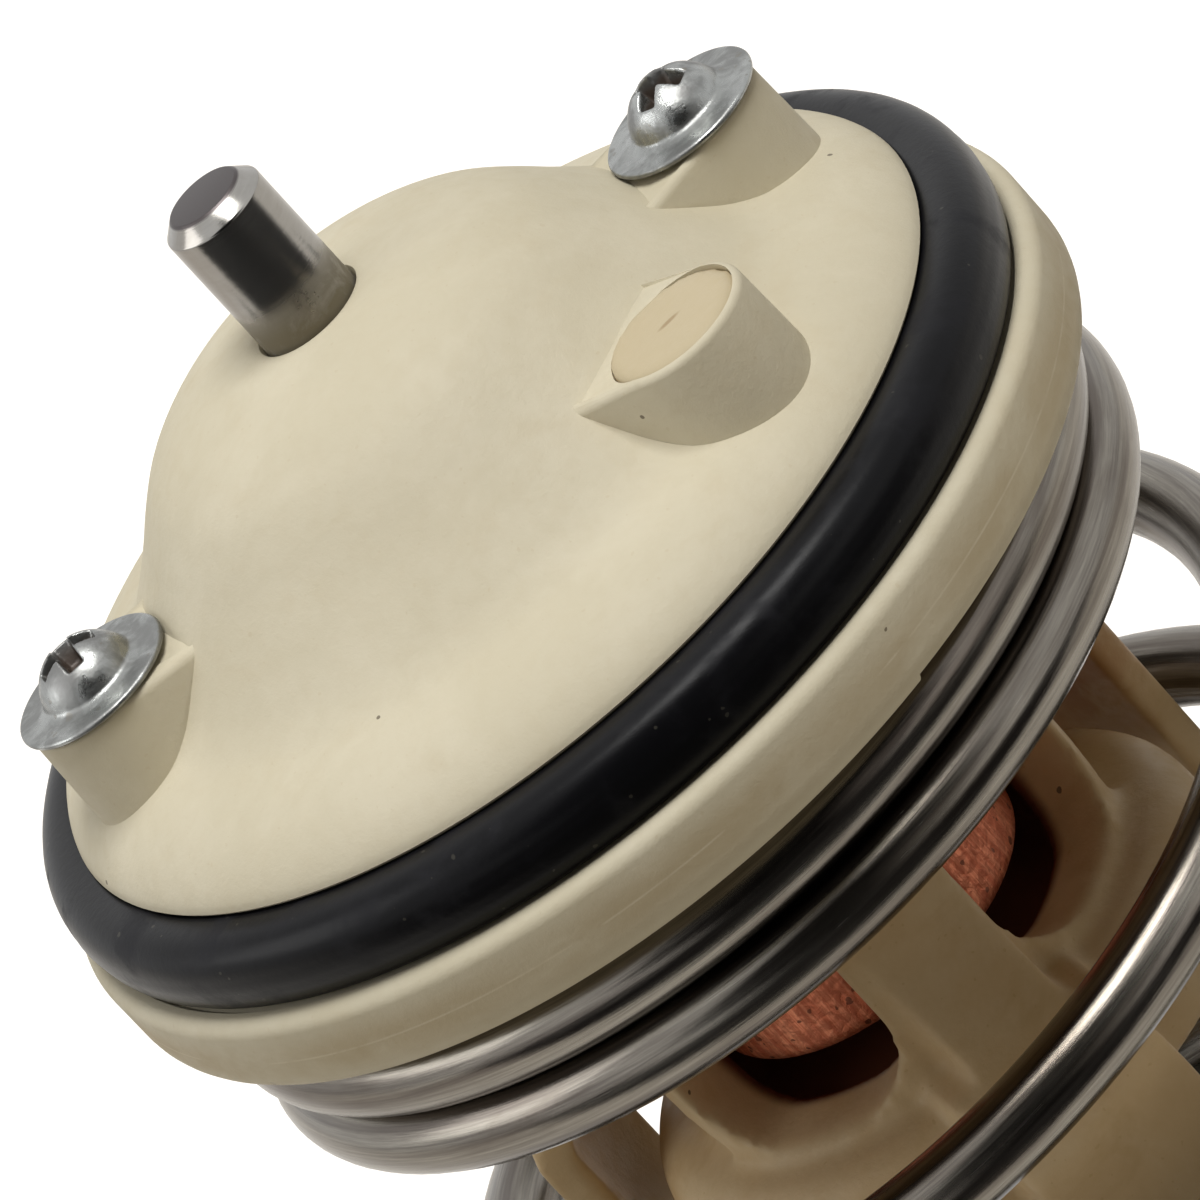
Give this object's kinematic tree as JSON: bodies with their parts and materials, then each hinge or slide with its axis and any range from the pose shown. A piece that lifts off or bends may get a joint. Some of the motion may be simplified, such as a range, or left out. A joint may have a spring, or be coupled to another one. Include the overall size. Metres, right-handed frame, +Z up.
{
  "type": "engine thermostat insert",
  "caption": "Coolant thermostat insert for an engine: domed plastic cap with O-ring and cap screws, steel piston, copper wax capsule in a windowed cage, stout coil spring and spring seat.",
  "frame": {"origin": "on the piston axis, in the plane the three feet stand on", "axes": "+Z up the piston axis from the feet to the piston's tip, +X through the first cap screw"},
  "size_m": [0.0636, 0.0636, 0.0989],
  "materials": {
    "cap_plastic": "matte cream glass-filled plastic with faint brown stains",
    "cage_plastic": "matte tan glass-filled plastic, darker than the cap",
    "black_rubber": "black rubber with a soft sheen",
    "spring_steel": "bright drawn spring wire with length-wise streaks",
    "piston_steel": "ground steel with a polished end",
    "zinc_steel": "zinc plate, worn in the recess",
    "copper": "dull copper with length-wise scratches and brown scale",
    "brass": "turned brass",
    "wax": "wax filled with copper powder",
    "pale_plastic": "plain white slippery plastic",
    "pressed_steel": "pressed and plated sheet steel"
  },
  "bodies": {
    "insert": {"cap": "cap_plastic", "o_ring": "black_rubber", "cage": "cage_plastic", "cap_screw_1": "zinc_steel", "cap_screw_2": "zinc_steel", "wax_cup": "copper", "wax_charge": "wax", "rubber_boot": "black_rubber", "backing_washer": "pale_plastic", "piston_guide": "brass", "piston_wiper": "black_rubber"},
    "seat": {"spring_seat": "pressed_steel", "main_spring": "spring_steel"},
    "piston": {"piston": "piston_steel"}
  },
  "joints": [
    {"name": "seat_slide", "type": "slide", "parent": "insert", "child": "seat", "axis": [0, 0, 1], "range_m": [0, 0.009], "stiffness_N_per_m": 7000, "deforming": ["main_spring"]},
    {"name": "piston_slide", "type": "slide", "parent": "insert", "child": "piston", "axis": [0, 0, 1], "range_m": [0, 0.009]}
  ],
  "couplings": [
    {"joint": "piston_slide", "follows": "seat_slide", "ratio": 1}
  ]
}
